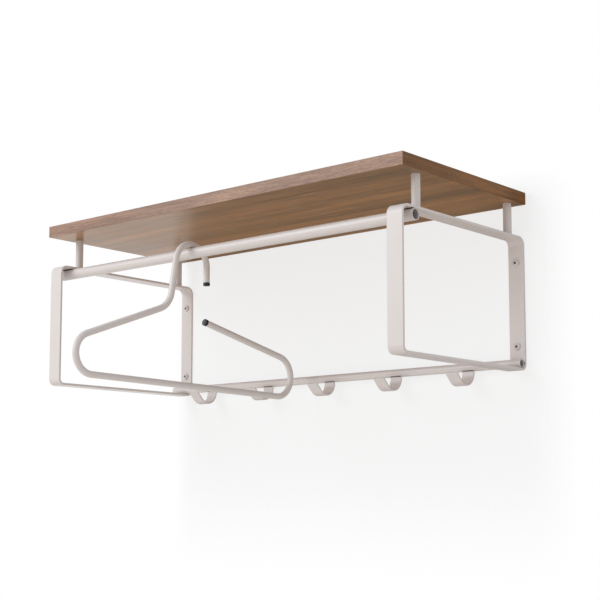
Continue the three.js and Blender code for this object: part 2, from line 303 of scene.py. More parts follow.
def ramp(tree, factor, stops):
    """A colour ramp through (position, colour) stops."""
    made = add_node(tree, "ShaderNodeValToRGB", {"Fac": factor})
    elements = made.color_ramp.elements
    while len(elements) < len(stops):
        elements.new(0.5)
    for element, (position, colour) in zip(elements, stops):
        element.position = position
        element.color = (*colour, 1)
    return made.outputs["Color"]


def span(tree, value, low, high):
    """Turns a value from 0 to 1 into one from low to high."""
    made = add_node(tree, "ShaderNodeMapRange", {"Value": value, "To Min": low, "To Max": high})
    return made.outputs["Result"]


def blend_colours(tree, factor, first, second, mode="MIX"):
    """Mixes two colours."""
    made = add_node(tree, "ShaderNodeMix", data_type="RGBA", blend_type=mode)
    for socket, value in ((made.inputs[0], factor), (made.inputs[6], first), (made.inputs[7], second)):
        if isinstance(value, bpy.types.NodeSocket):
            tree.links.new(value, socket)
        else:
            socket.default_value = value
    return made.outputs[2]


def new_group(name, inputs, outputs):
    """An empty node group with named sockets: (name, kind) or (name, kind, default)."""
    group = bpy.data.node_groups.new(name, "ShaderNodeTree")
    for label, kind, *default in inputs:
        socket = group.interface.new_socket(label, in_out="INPUT", socket_type="NodeSocket" + kind)
        if default:
            socket.default_value = default[0]
    for label, kind in outputs:
        group.interface.new_socket(label, in_out="OUTPUT", socket_type="NodeSocket" + kind)
    return group, group.nodes.new("NodeGroupInput").outputs, group.nodes.new("NodeGroupOutput").inputs


def coat_group():
    """Even coating of paint, plating or moulded plastic: slow drift of tone over a fine orange peel."""
    group, given, result = new_group("even_coating", (
        ("Vector", "Vector"), ("Tone", "Color"), ("Other Tone", "Color"),
        ("Drift Scale", "Float", 9.0), ("Peel Scale", "Float", 900.0),
        ("Smoothest", "Float", 0.4), ("Roughest", "Float", 0.5),
    ), (("Colour", "Color"), ("Roughness", "Float"), ("Height", "Float")))
    drift = add_node(group, "ShaderNodeTexNoise", {
        "Vector": given["Vector"], "Scale": given["Drift Scale"], "Detail": 3.0})
    peel = add_node(group, "ShaderNodeTexNoise", {
        "Vector": given["Vector"], "Scale": given["Peel Scale"], "Detail": 2.0})
    specks = add_node(group, "ShaderNodeMath", {
        0: drift.outputs["Fac"], 1: peel.outputs["Fac"], 2: 0.15}, operation="MULTIPLY_ADD")
    colour = blend_colours(group, specks.outputs[0], given["Tone"], given["Other Tone"])
    rough = add_node(group, "ShaderNodeMapRange", {
        "Value": drift.outputs["Fac"], "From Min": 0.3, "From Max": 0.7,
        "To Min": given["Smoothest"], "To Max": given["Roughest"]})
    group.links.new(colour, result["Colour"])
    group.links.new(rough.outputs["Result"], result["Roughness"])
    group.links.new(peel.outputs["Fac"], result["Height"])
    return group


def grain_group():
    """Straight-grained veneer along the vector's X: broad bands, fine streaks and short dark pores."""
    group, given, result = new_group("veneer_grain", (
        ("Vector", "Vector"), ("Dark", "Color"), ("Middle", "Color"), ("Light", "Color"),
        ("Contrast", "Float", 0.6), ("Pores", "Float", 0.5),
    ), (("Colour", "Color"), ("Roughness", "Float"), ("Height", "Float")))

    def grain(along, across, detail, distortion=0.0):
        """Noise with so many waves to the metre along and across the grain."""
        place = add_node(group, "ShaderNodeMapping", {
            "Vector": given["Vector"], "Scale": (along, across, across)})
        return add_node(group, "ShaderNodeTexNoise", {
            "Vector": place.outputs[0], "Scale": 1.0, "Detail": detail,
            "Roughness": 0.6, "Distortion": distortion}).outputs["Fac"]

    bands = grain(1.2, 30, 3.0, 0.3)
    streaks = grain(4, 120, 4.0, 0.1)
    fibres = grain(14, 420, 3.0)
    pores = grain(45, 1500, 1.0)
    band_share = 0.62
    streak_part = add_node(group, "ShaderNodeMath", {0: streaks, 1: 1 - band_share},
                           operation="MULTIPLY")
    tone = add_node(group, "ShaderNodeMath", {
        0: bands, 1: band_share, 2: streak_part.outputs[0]}, operation="MULTIPLY_ADD")
    spread = add_node(group, "ShaderNodeMath", {0: tone.outputs[0], 1: 0.5}, operation="SUBTRACT")
    strength = add_node(group, "ShaderNodeMath", {
        0: spread.outputs[0], 1: given["Contrast"], 2: 0.5}, operation="MULTIPLY_ADD")
    lower = add_node(group, "ShaderNodeMapRange", {"Value": strength.outputs[0], "From Max": 0.5})
    upper = add_node(group, "ShaderNodeMapRange", {"Value": strength.outputs[0], "From Min": 0.5})
    colour = blend_colours(group, lower.outputs["Result"], given["Dark"], given["Middle"])
    colour = blend_colours(group, upper.outputs["Result"], colour, given["Light"])
    fibre_tone = ramp(group, fibres, ((0.35, (0.76,) * 3), (0.65, (1.16,) * 3)))
    colour = blend_colours(group, 1.0, colour, fibre_tone, "MULTIPLY")
    open_pore = add_node(group, "ShaderNodeMapRange", {
        "Value": pores, "From Min": 0.36, "From Max": 0.44})
    pore_share = add_node(group, "ShaderNodeMath", {0: 1.0, 1: open_pore.outputs["Result"]},
                          operation="SUBTRACT")
    pore_depth = add_node(group, "ShaderNodeMath", {0: pore_share.outputs[0], 1: given["Pores"]},
                          operation="MULTIPLY")
    colour = blend_colours(group, pore_depth.outputs[0], colour, given["Dark"])
    group.links.new(colour, result["Colour"])
    group.links.new(span(group, streaks, 0.24, 0.38), result["Roughness"])
    group.links.new(open_pore.outputs["Result"], result["Height"])
    return group


GROUPS = {}


def shared_group(name, make):
    """A node group that is built once and used by many materials."""
    if name not in GROUPS:
        GROUPS[name] = make()
    return GROUPS[name]


def new_material(name, group, values, bump, depth, turn=0.0, scale=(1, 1, 1), **shader_values):
    """A Principled material fed by a shared group on Object coordinates, with its own bump."""
    material = bpy.data.materials.new(name)
    material.use_nodes = True
    tree = material.node_tree
    tree.nodes.clear()
    place = add_node(tree, "ShaderNodeTexCoord")
    turned_place = add_node(tree, "ShaderNodeMapping", {
        "Vector": place.outputs["Object"], "Rotation": (0, 0, turn), "Scale": scale})
    look = add_node(tree, "ShaderNodeGroup", node_tree=group)
    tree.links.new(turned_place.outputs[0], look.inputs["Vector"])
    for key, value in values.items():
        look.inputs[key].default_value = value
    relief = add_node(tree, "ShaderNodeBump", {
        "Height": look.outputs["Height"], "Strength": bump, "Distance": depth})
    shader = add_node(tree, "ShaderNodeBsdfPrincipled", {
        "Base Color": look.outputs["Colour"], "Roughness": look.outputs["Roughness"],
        "Normal": relief.outputs[0], **{k.replace("_", " "): v for k, v in shader_values.items()}})
    add_node(tree, "ShaderNodeOutputMaterial", {"Surface": shader.outputs[0]})
    return material


def coated(name, tone, other, smoothest, roughest, peel=900.0, bump=0.12, **shader_values):
    """A painted, plated or moulded finish."""
    group = shared_group("even_coating", coat_group)
    values = {"Tone": (*tone, 1), "Other Tone": (*other, 1), "Peel Scale": peel,
              "Smoothest": smoothest, "Roughest": roughest}
    return new_material(name, group, values, bump, RELIEF, **shader_values)


def veneered(name, dark, middle, light, contrast, pores, gloss, turn=0.0, scale=(1, 1, 1)):
    """A lacquered wood finish whose grain runs along X, or along Y when turned by 90 degrees."""
    group = shared_group("veneer_grain", grain_group)
    values = {"Dark": (*dark, 1), "Middle": (*middle, 1), "Light": (*light, 1),
              "Contrast": contrast, "Pores": pores}
    return new_material(name, group, values, 0.25, RELIEF, turn, scale,
                        Specular_IOR_Level=gloss, Specular_Tint=(1.0, 0.94, 0.82, 1.0))


def paint():
    """Light warm grey powder paint, shared by all the bare metal."""
    if "rack_paint" not in bpy.data.materials:
        tone = tuple(bpy.context.scene.rack_colours.paint)
        warmer = tuple(channel * drop for channel, drop in zip(tone, (0.97, 0.93, 0.92)))
        coated("rack_paint", tone, warmer, smoothest=0.28, roughest=0.38)
    return bpy.data.materials["rack_paint"]


# ---- sizes and colours ---------------------------------------------------------------------------
class RackSizes(PropertyGroup):
    """Sizes that the frame does not give."""

    bar_thickness: FloatProperty(
        name="Flat bar", description="Thickness of the side frames' bar",
        default=3.6 * MM, unit="LENGTH")
    bar_arris: FloatProperty(
        name="Bar edge", description="Radius along the edges of the flat bar",
        default=0.8 * MM, unit="LENGTH")
    top_bend: FloatProperty(
        name="Top bends", description="Outside radius of the side frames' upper bends",
        default=13 * MM, unit="LENGTH")
    bottom_bend: FloatProperty(
        name="Bottom bends", description="Outside radius of the side frames' lower bends",
        default=10 * MM, unit="LENGTH")
    rail_wall: FloatProperty(
        name="Rail wall", description="Wall of the rails and posts", default=1.3 * MM, unit="LENGTH")
    strip_thickness: FloatProperty(
        name="Hook strip", description="Thickness of the hooks' strip",
        default=2.5 * MM, unit="LENGTH")
    cup_radius: FloatProperty(
        name="Hook cup", description="Outside radius of the hooks' cups",
        default=20.5 * MM, unit="LENGTH")
    cup_flare: FloatProperty(
        name="Hook flare", description="How far the hooks' lips lean out from upright",
        default=math.radians(45), subtype="ANGLE")
    lip_length: FloatProperty(
        name="Hook lip", description="Straight stretch at the front of a hook",
        default=15.5 * MM, unit="LENGTH")
    stem_length: FloatProperty(
        name="Hook stem", description="Straight stretch under the lower rail",
        default=1.6 * MM, unit="LENGTH")
    cap_length: FloatProperty(
        name="Cap", description="Length of a hanger cap's head", default=4.5 * MM, unit="LENGTH")
    weld: FloatProperty(
        name="Weld", description="Leg of the small welds", default=1.3 * MM, unit="LENGTH")
    board_arris: FloatProperty(
        name="Board edge", description="Radius along the shelf's edges",
        default=0.35 * MM, unit="LENGTH")
    bend_step: FloatProperty(
        name="Bend step", description="Degrees of a bend from one ring of points to the next",
        default=3.0)
    sides: IntProperty(
        name="Sides", description="Points round a tube", default=64, min=12)


class RackColours(PropertyGroup):
    """Colours of the finishes, as linear values."""

    paint: FloatVectorProperty(
        name="Paint", description="Paint on all the metal",
        default=(0.68, 0.625, 0.605), subtype="COLOR", min=0, max=1)
    board: FloatVectorProperty(
        name="Board veneer", description="Middle tone of the shelf's faces",
        default=(0.335, 0.172, 0.072), subtype="COLOR", min=0, max=1)
    # paler than the short bands: partly the wood's own tone, partly painted light and sheen on the front
    long_band_painted_light: FloatVectorProperty(
        name="Long edge bands", description="Middle tone of the front and rear bands",
        default=(0.36, 0.222, 0.165), subtype="COLOR", min=0, max=1)
    # darker and redder than the long bands: partly the wood's own tone, partly painted shade on the ends
    end_band_painted_shade: FloatVectorProperty(
        name="Short edge bands", description="Middle tone of the left and right bands",
        default=(0.205, 0.085, 0.022), subtype="COLOR", min=0, max=1)
    plastic: FloatVectorProperty(
        name="Caps", description="Plastic of the hanger's caps",
        default=(0.008, 0.0085, 0.009), subtype="COLOR", min=0, max=1)
    wall: FloatVectorProperty(
        name="Wall", description="Plain pale wall behind the rack",
        default=(0.93, 0.93, 0.93), subtype="COLOR", min=0, max=1)
    floor: FloatVectorProperty(
        name="Floor", description="Plain pale floor under the rack",
        default=(0.93, 0.88, 0.83), subtype="COLOR", min=0, max=1)


class RackStage(PropertyGroup):
    """Camera and light."""

    camera_place: FloatVectorProperty(
        name="Camera", description="Where the camera stands",
        default=(1.2967, -1.5987, -0.2825), subtype="TRANSLATION")
    heading: FloatProperty(
        name="Heading", description="Turn of the camera to the left of +Y",
        default=math.radians(40.625), subtype="ANGLE")
    tilt: FloatProperty(
        name="Tilt", description="How far the camera looks up",
        default=math.radians(6.318), subtype="ANGLE")
    lens: FloatProperty(
        name="Lens", description="Focal length on a 36 mm sensor, in millimetres", default=78.39)
    shift: FloatProperty(
        name="Shift", description="Upward shift of the picture, as a share of its width",
        default=0.1)
    key_power: FloatProperty(
        name="Key light", description="Power of the large soft light, in watts", default=32.5)
    fill_power: FloatProperty(
        name="Low light", description="Power of the soft light from below, in watts", default=4.0)
    surround: FloatProperty(
        name="Surroundings", description="Brightness of the room's light on the rack", default=0.78)
    cool: FloatVectorProperty(
        name="Upper light", description="Colour of the light from the front and above",
        default=(0.89, 0.955, 1.0), subtype="COLOR", min=0, max=1)
    warm: FloatVectorProperty(
        name="Lower light", description="Colour of the light from below",
        default=(0.87, 0.735, 0.615), subtype="COLOR", min=0, max=1)


# ---- pieces --------------------------------------------------------------------------------------
class RACK_OT_shelf(Operator):
    """Builds the veneered board and its four wooden edge bands"""

    bl_idname = "rack.shelf"
    bl_label = "Shelf"
    bl_options = {"REGISTER", "UNDO"}

    def execute(self, context):
        sizes = context.scene.rack_sizes
        colours = context.scene.rack_colours
        wood = tuple(colours.board)
        board_wood = veneered(
            "board_veneer", dark=self.tone(wood, 0.58, 0.64, 0.7), middle=wood,
            light=self.tone(wood, 1.5, 1.38, 1.2), contrast=3.2, pores=0.45, gloss=0.45)
        low, high = corners("shelf_board")
        seam = np.array([0.25, 0.25, 0]) * MM     # the board fills the gap between it and the bands
        arris = 0.1 * MM
        add_piece("board", [rounded_bar(low - seam, high + seam, X, arris)],
                  board_wood, nodes=["shelf_board"])
        # one wood in two tones: the long bands carry painted light, the short ones painted shade
        long_wood = self.band_wood("long_band_wood_painted_light", colours.long_band_painted_light, contrast=2.4, turn=0.0)
        short_wood = self.band_wood("short_band_wood_painted_shade", colours.end_band_painted_shade, contrast=3.8,
                                    turn=math.pi / 2)
        for name, direction, wood in (("front", X, long_wood), ("rear", X, long_wood),
                                      ("left", Y, short_wood), ("right", Y, short_wood)):
            node = f"edge_band_{name}"
            low, high = corners(node)
            reach = 0.28 * MM * Y if direction is Y else 0 * Y     # to the front and rear bands
            band = rounded_bar(low - reach, high + reach, direction, sizes.board_arris)
            add_piece(f"band_{name}", [band], wood, nodes=[node])
        return {"FINISHED"}

    def band_wood(self, name, colour, contrast, turn):
        wood = tuple(colour)
        return veneered(
            name, dark=self.tone(wood, 0.5, 0.5, 0.5), middle=wood,
            light=self.tone(wood, 1.4, 1.36, 1.3), contrast=contrast, pores=0.9, gloss=0.2,
            turn=turn, scale=(4, 3, 3))

    def tone(self, colour, red, green, blue):
        return tuple(min(1.0, c * k) for c, k in zip(colour, (red, green, blue)))


class RACK_OT_side_frames(Operator):
    """Builds the two side frames from flat bar bent into a closed loop"""

    bl_idname = "rack.side_frames"
    bl_label = "Side frames"
    bl_options = {"REGISTER", "UNDO"}

    def execute(self, context):
        sizes = context.scene.rack_sizes
        half = sizes.bar_thickness / 2
        top, bottom = sizes.top_bend - half, sizes.bottom_bend - half
        for name in ("left_frame", "right_frame"):
            low, high = corners(name)
            width = high[0] - low[0]
            depth, height = (high - low)[1:] - 2 * half
            bends = (
                (depth - 2 * bottom, bottom, 90),
                (height - bottom - top, top, 90),
                (depth - 2 * top, top, 90),
                (height - bottom - top, bottom, 90),
            )
            points, _, normal = bent_run(middle(name)[0], low[1] + half + bottom, low[2] + half,
                                         0.0, bends, sizes.bend_step)
            outline = rounded_rectangle(width, sizes.bar_thickness, sizes.bar_arris)
            add_piece(f"{name}_bar", [sweep(points, X, normal, outline, closed=True)],
                      paint(), nodes=[name])
        return {"FINISHED"}


class RACK_OT_rails(Operator):
    """Builds the hanging rail and the lower rail as open tubes, lined with bare steel darkened as painted
    shade
    """

    bl_idname = "rack.rails"
    bl_label = "Rails"
    bl_options = {"REGISTER", "UNDO"}

    def execute(self, context):
        sizes = context.scene.rack_sizes
        # bare steel inside the bore, its grey darkened to paint the shade deep in the tube
        bare = coated("bore_painted_shade", (0.42, 0.38, 0.4), (0.34, 0.3, 0.31),
                      smoothest=0.45, roughest=0.6)
        rim = 0.35 * MM
        film, film_rim, film_lap, film_depth = 0.15 * MM, 0.03 * MM, 0.05 * MM, 1.2 * MM
        for name in ("hanging_rail", "lower_rail"):
            low, high = corners(name)
            centre = np.array([0, *middle(name)[1:]])
            radius = (high[2] - low[2]) / 2
            pipe = tube(radius, sizes.rail_wall, low[0], high[0], rim, centre, Y, Z, sizes.sides)
            add_piece(f"{name}_tube", [pipe], paint(), nodes=[name])
            lining = tube(radius - sizes.rail_wall + film_lap, film, low[0] + film_depth,
                          high[0] - film_depth, film_rim, centre, Y, Z, sizes.sides)
            add_piece(f"{name}_bore", [lining], bare)
        return {"FINISHED"}


class RACK_OT_posts(Operator):
    """Builds the four posts and the screws hidden in them, and gives the threaded inserts their finish"""

    bl_idname = "rack.posts"
    bl_label = "Posts"
    bl_options = {"REGISTER", "UNDO"}

    def execute(self, context):
        sizes = context.scene.rack_sizes
        zinc = coated("zinc_plate", (0.6, 0.6, 0.59), (0.5, 0.5, 0.48),
                      smoothest=0.25, roughest=0.4, Metallic=1.0)
        brass = coated("turned_brass", (0.55, 0.42, 0.17), (0.5, 0.36, 0.13),
                       smoothest=0.25, roughest=0.4, Metallic=1.0)
        bore, rim, sink = 2.9 * MM, 0.3 * MM, 0.05 * MM
        bar_top = corners("left_frame")[1][2]
        shelf_bottom = corners("shelf_board")[0][2]
        for place in PLACES:
            centre = middle(f"post_{place}")
            centre[2] = 0
            radius = half_width(f"post_{place}")
            spacer = tube(radius, radius - bore, bar_top - sink, shelf_bottom - sink, rim,
                          centre, X, Y, sizes.sides)
            add_piece(f"spacer_{place}", [spacer], paint(), nodes=[f"post_{place}"])
            add_piece(f"screw_{place}", [self.screw(f"shelf_screw_{place}", centre)],
                      zinc, nodes=[f"shelf_screw_{place}"])
            finish_node(f"threaded_insert_{place}", brass)
        return {"FINISHED"}

    def screw(self, node, centre):
        """A countersunk screw, head down and sunk by the paint: cone, shank with a thread, blunt tip.

        The shank's radius at the height h is its mean radius + thread depth cos(2 pi h / pitch).
        """
        low, high = corners(node)
        head_radius, head_height, edge, sunk = 4.5 * MM, 2.2 * MM, 0.2 * MM, 0.3 * MM
        shank, thread_depth, pitch = 2.25 * MM, 0.12 * MM, 0.8 * MM
        tip_radius, tip_height = 1.4 * MM, 0.8 * MM
        head = low[2] + sunk
        height = np.arange(head + head_height, high[2] - tip_height, pitch / 4)
        thread = shank + thread_depth * np.cos(2 * math.pi * height / pitch)
        radius = np.r_[0.4 * MM, head_radius - edge, head_radius, thread, tip_radius]
        along = np.r_[head, head, head + edge, height, high[2]]
        return turned(radius, along, centre, X, Y, 32)


class RACK_OT_wall_screws(Operator):
    """Builds the four wall screws, with domed heads and hexagon sockets lined with painted shade"""

    bl_idname = "rack.wall_screws"
    bl_label = "Wall screws"
    bl_options = {"REGISTER", "UNDO"}

    def execute(self, context):
        sizes = context.scene.rack_sizes
        # dark grey lining: painted shade inside the sockets
        dark = coated("socket_painted_shade", (0.22, 0.2, 0.2), (0.17, 0.155, 0.15),
                      smoothest=0.5, roughest=0.7)
        for side in ("left", "right"):
            for level in ("upper", "lower"):
                node = f"wall_screw_{level}_{side}"
                add_piece(f"{level}_{side}_screw", [self.screw(node, sizes)],
                          paint(), nodes=[node])
                add_piece(f"{level}_{side}_socket", [self.socket(node)], dark)
        return {"FINISHED"}

    def screw(self, node, sizes):
        """Shank, then a dome of radius c + (R - c) cos t and height e + H sin t, then the socket."""
        low = corners(node)[0]
        head = half_width(node)
        shank, shank_edge, head_bevel = 2.4 * MM, 0.1 * MM, 0.2 * MM
        crown, rim_height, t = head / 2, 0.6 * MM, np.linspace(0, math.pi / 2, 9)
        flat, floor_flat, lip, depth, coning = 2.0 * MM, 1.95 * MM, 0.15 * MM, 3.0 * MM, 0.2 * MM
        seat, top = sizes.bar_thickness, -low[1]
        dome = crown + (head - crown) * np.cos(t)
        dome_height = rim_height + (top - seat - rim_height) * np.sin(t)
        angle = np.arange(SCREW_SIDES) * 2 * math.pi / SCREW_SIDES
        rim, floor = hexagon_radius(flat, angle), hexagon_radius(floor_flat, angle)
        rounds = np.r_[0.8 * MM, shank - shank_edge, shank, shank, head - head_bevel, dome]
        radius = np.vstack([np.repeat(rounds[:, None], SCREW_SIDES, 1), rim + lip, rim, floor,
                            floor * 0.1])
        tip = 0.35 * MM
        along = np.r_[tip, tip, tip + 0.25 * MM, seat, seat, seat + dome_height,
                      top, top - lip, top - depth, top - depth - coning]
        centre = middle(node)
        centre[1] = 0
        return turned(radius, along, centre, X, Z, SCREW_SIDES)

    def socket(self, node):
        """Painted shade lining a socket: a hexagonal cup, from its outer floor round its rim to its inner
        one.
        """
        angle = np.arange(SCREW_SIDES) * 2 * math.pi / SCREW_SIDES
        outer, inner = hexagon_radius(1.93 * MM, angle), hexagon_radius(1.75 * MM, angle)
        outer_floor, inner_floor, rim = 2.9 * MM, 2.7 * MM, 0.3 * MM
        radius = np.vstack([outer * 0.1, outer, outer, inner, inner, inner * 0.1])
        depth = np.array([outer_floor, outer_floor, rim, rim, inner_floor, inner_floor])
        centre = middle(node)
        centre[1] = 0
        return turned(radius, -corners(node)[0][1] - depth, centre, X, Z, SCREW_SIDES)


class RACK_OT_hooks(Operator):
    """Builds the strip hooks: a stem under the lower rail, a round cup and a flared lip"""

    bl_idname = "rack.hooks"
    bl_label = "Strip hooks"
    bl_options = {"REGISTER", "UNDO"}

    def execute(self, context):
        sizes = context.scene.rack_sizes
        half = sizes.strip_thickness / 2
        reach = 1.4 * MM                          # the stem goes on up, to meet the rail
        end_round, arris = 0.5 * MM, 0.7 * MM
        bend = -(180 - math.degrees(sizes.cup_flare))
        bends = ((sizes.stem_length + reach, sizes.cup_radius - half, bend), (sizes.lip_length, 0, 0))
        for name in HOOKS:
            low, high = corners(name)
            points, _, normal = bent_run(middle(name)[0], high[1] - half, high[2] + reach,
                                         -math.pi / 2, bends, sizes.bend_step)
            points, inset = taper(points, end_round)
            outline = rounded_rectangle(high[0] - low[0], sizes.strip_thickness, arris, inset)
            strip = sweep(points, X, stretch(normal), outline)
            add_piece(f"{name}_strip", [strip], paint(), nodes=[name])
        return {"FINISHED"}


class RACK_OT_welds(Operator):
    """Builds the small welds: painted at the posts, near black at the frames and dark grey at the hooks as
    painted shade
    """

    bl_idname = "rack.welds"
    bl_label = "Welds"
    bl_options = {"REGISTER", "UNDO"}

    def execute(self, context):
        sizes = context.scene.rack_sizes
        add_piece("post_welds", [self.ring(f"post_{place}", sizes) for place in PLACES],
                  paint())
        beads = []
        for name in ("left_frame", "right_frame"):
            low, high = corners(name)
            under_top = high[2] - sizes.bar_thickness
            over_bottom = low[2] + sizes.bar_thickness
            for rail, toward, level, reach in (
                    ("hanging_rail", Z, under_top, 27), ("lower_rail", -Z, -over_bottom, 15),
                    ("lower_rail", Y, -sizes.bar_thickness, 11)):
                beads.append(self.saddle(rail, toward, level, low[0], high[0], reach))
        # near black: painted shade in the pockets between the rails and the frames' bars, on the welds'
        # real shape
        dark = coated("rail_weld_painted_shade", (0.012, 0.012, 0.013), (0.022, 0.02, 0.019),
                      smoothest=0.6, roughest=0.8, Specular_IOR_Level=0.2)
        add_piece("rail_welds", beads, dark)
        # dark grey: painted shade where the lower rail shades the top of each hook's stem
        dull = coated("hook_weld_painted_shade", (0.1, 0.09, 0.086), (0.16, 0.145, 0.14),
                      smoothest=0.5, roughest=0.7)
        add_piece("hook_welds", [self.hook_bead(name, sizes) for name in HOOKS],
                  dull)
        return {"FINISHED"}

    def ring(self, node, sizes):
        """A hollow fillet round a post's foot: radius r + w (1 - sin t), height w (1 - cos t)."""
        leg, radius = sizes.weld, half_width(node)
        lap, sink = 0.2 * MM, 0.05 * MM
        turn = np.linspace(0, math.pi / 2, 7)
        out = np.r_[radius - lap, radius + leg * (1 - np.sin(turn)), radius - lap]
        rise = np.r_[0, leg * (1 - np.cos(turn)), leg]
        centre = middle(node)
        centre[2] = corners("left_frame")[1][2] - sink
        return turned(out, rise, centre, X, Y, sizes.sides, closed=True)

    def saddle(self, rail, toward, level, start, end, reach):
        """The wedge between a tube and a flat face beside it, along X, with hollow sides.

        toward is the unit vector from the tube to the face and level the face's place along it. The
        bottom follows the tube, R (sin a, cos a), for a within reach degrees of toward, and each side
        is a quadratic curve.
        """
        low, high = corners(rail)
        radius = (high[2] - low[2]) / 2
        centre = middle(rail)
        lap, spread, bow_spread = 0.1 * MM, 0.5 * MM, 0.15 * MM
        margin, ripple_depth, pitch = 0.8 * MM, 0.025, 1.5 * MM
        distance = level - float(centre @ toward) + lap
        arc = np.radians(np.linspace(-reach, reach, 13))
        bottom = (radius - lap) * np.stack([np.sin(arc), np.cos(arc)], -1)
        toe = radius * np.array([math.sin(arc[-1]), math.cos(arc[-1])])
        top = np.array([toe[0] + spread, distance])
        bow = np.array([toe[0] + bow_spread, distance - lap])
        t = np.linspace(0, 1, 6)[:, None]
        right = (1 - t) ** 2 * toe + 2 * t * (1 - t) * bow + t ** 2 * top
        outline = np.vstack([bottom, right, right[::-1] * [-1, 1]])
        stations = np.linspace(start + margin, end - margin, 60)
        ripple = 1 + ripple_depth * np.cos(2 * math.pi * stations / pitch)
        outline = outline * np.stack([ripple, np.ones(len(stations))], -1)[:, None]
        points = np.column_stack([stations, np.full((len(stations), 2), centre[1:])])
        return sweep(points, np.cross(toward, X), toward, outline)

    def hook_bead(self, hook, sizes):
        """The bead between a hook's stem and the lower rail, along X, as a closed outline in Y and Z."""
        low, high = corners(hook)
        rail = middle("lower_rail")
        half = sizes.strip_thickness / 2
        stem = high[1] - half
        t = np.linspace(0, 1, 6)[:, None]

        def hollow(start, bow, end):
            return (1 - t) ** 2 * start + 2 * t * (1 - t) * bow + t ** 2 * end

        rear_toe = np.array([stem + half + 1.9 * MM, rail[2] - 5.9 * MM])
        front_toe = np.array([stem - half - 0.7 * MM, rail[2] - 4.7 * MM])
        rear_foot = np.array([stem + half - 0.05 * MM, rail[2] - 7.8 * MM])
        front_foot = np.array([stem - half + 0.05 * MM, rail[2] - 6.5 * MM])
        inner = np.array([[stem, rail[2] - 5.2 * MM]])
        outline = np.vstack([
            rear_toe[None], inner,
            hollow(front_toe, front_foot + [-0.1 * MM, 1.0 * MM], front_foot),
            hollow(rear_foot, rear_foot + [0.1 * MM, 1.4 * MM], rear_toe)[:-1]])
        margin = 0.6 * MM
        stations = np.linspace(low[0] + margin, high[0] - margin, 50)
        points = np.column_stack([stations, np.zeros((len(stations), 2))])
        return sweep(points, Y, Z, outline)


class RACK_OT_hanger(Operator):
    """Builds the coat hanger's bent tube and its two plastic caps"""

    bl_idname = "rack.hanger"
    bl_label = "Coat hanger"
    bl_options = {"REGISTER", "UNDO"}

    def execute(self, context):
        sizes = context.scene.rack_sizes
        colours = context.scene.rack_colours
        radius = half_width("hanger_tube")
        apex = corners("hanger_tube")[1][2] - radius
        bends = [(length * MM, bend_radius * MM, bend) for length, bend_radius, bend in HANGER_BENDS]
        rise, arch = bends[0][:2]
        points, forward, normal = bent_run(
            middle("hanger_tube")[0], middle("hanging_rail")[1] + arch, apex - arch - rise,
            math.pi / 2, bends, sizes.bend_step)
        add_piece("hanger_bent_tube", [sweep(points, X, normal, circle(radius, sizes.sides))],
                  paint(), body="hanger", nodes=["hanger_tube"])
        plastic = tuple(colours.plastic)
        black = coated("black_cap_plastic", plastic, tuple(c * 1.6 for c in plastic),
                       smoothest=0.2, roughest=0.3, peel=1500.0, bump=0.15, Specular_IOR_Level=0.35)
        for name, end, out in (("hook", points[0], -forward[0]), ("shoulder", points[-1], forward[-1])):
            node = f"hanger_{name}_cap"
            add_piece(f"{name}_end_cap", [self.cap(half_width(node), end, out, sizes)], black,
                      body="hanger", nodes=[node])
        return {"FINISHED"}

    def cap(self, radius, end, out, sizes):
        """A cap's head: a straight wall, a rounded edge, and a face that is hollow in the middle.

        The face's height is H - hollow cos(90 degrees r / rim)^2 at the radius r.
        """
        length = sizes.cap_length
        edge, bevel, lap, hollow = 0.9 * MM, 0.12 * MM, 0.5 * MM, 0.25 * MM
        turn = np.linspace(0, math.pi / 2, 7)
        rim = radius - edge
        inward = np.linspace(0.96, 0.05, 12)
        out_radius = np.r_[radius - lap, radius - bevel, radius, radius,
                           rim + edge * np.cos(turn), rim * inward]
        dip = hollow * np.cos(inward * math.pi / 2) ** 2
        along = np.r_[0, 0, bevel, length / 2, length - edge + edge * np.sin(turn), length - dip]
        return turned(out_radius, along, end, X, np.cross(out, X), 64)


